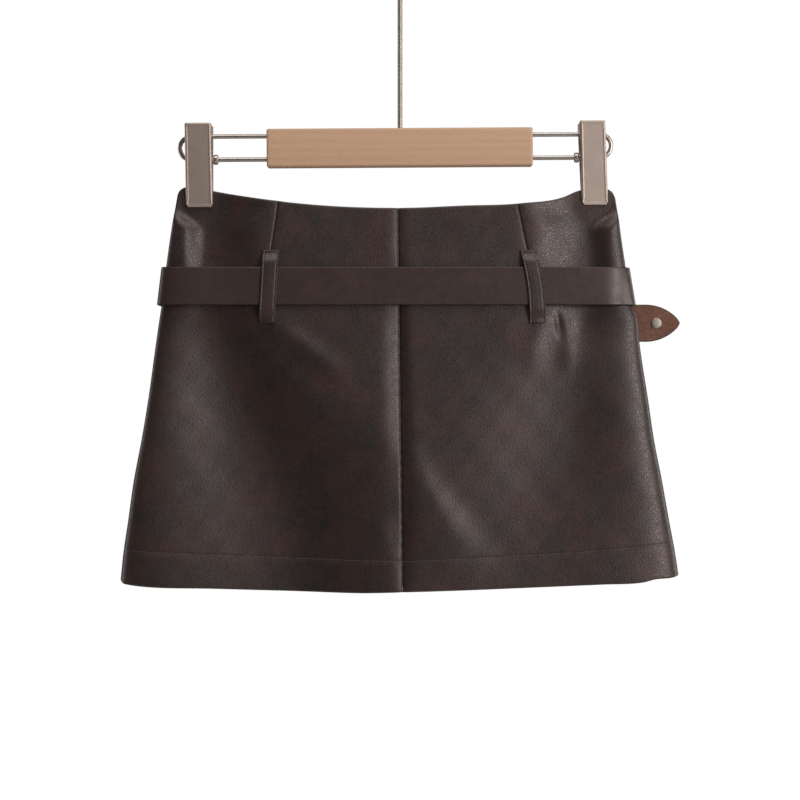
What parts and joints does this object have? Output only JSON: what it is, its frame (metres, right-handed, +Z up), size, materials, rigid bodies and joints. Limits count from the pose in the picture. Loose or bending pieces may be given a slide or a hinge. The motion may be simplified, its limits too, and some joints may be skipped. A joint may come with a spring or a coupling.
{
  "type": "faux leather skort on clip hanger",
  "caption": "Short A-line faux leather skort with under-shorts and a long hip belt, hung by its waist from a wooden clip hanger.",
  "frame": {"origin": "inside of the hook's crown, where the hanger hangs on its rail", "axes": "+Z up, and the garment's back faces -Y, so +X is to the right of someone who looks at the back"},
  "size_m": [0.4368, 0.0581, 0.5239],
  "materials": {
    "leather": "fine pebble grain, satin",
    "belt_leather": "smooth, satin",
    "knit": "matt stretch knit",
    "nickel": "satin nickel plate",
    "wood": "clear satin lacquer"
  },
  "bodies": {
    "root": {"back_left": "leather", "back_right": "leather", "belt": "belt_leather", "buckle_frame": "nickel", "buckle_prong": "nickel", "clip_left_back": "nickel", "clip_left_front": "nickel", "clip_left_spring": "nickel", "clip_right_back": "nickel", "clip_right_front": "nickel", "clip_right_spring": "nickel", "front": "leather", "hanger_bar": "wood", "hanger_hook": "nickel", "loop_back_left": "leather", "loop_back_right": "leather", "loop_front_left": "leather", "loop_front_right": "leather", "shorts_left": "knit", "shorts_right": "knit", "tail_rivet": "nickel", "wire_left": "nickel", "wire_right": "nickel"}
  },
  "joints": []
}
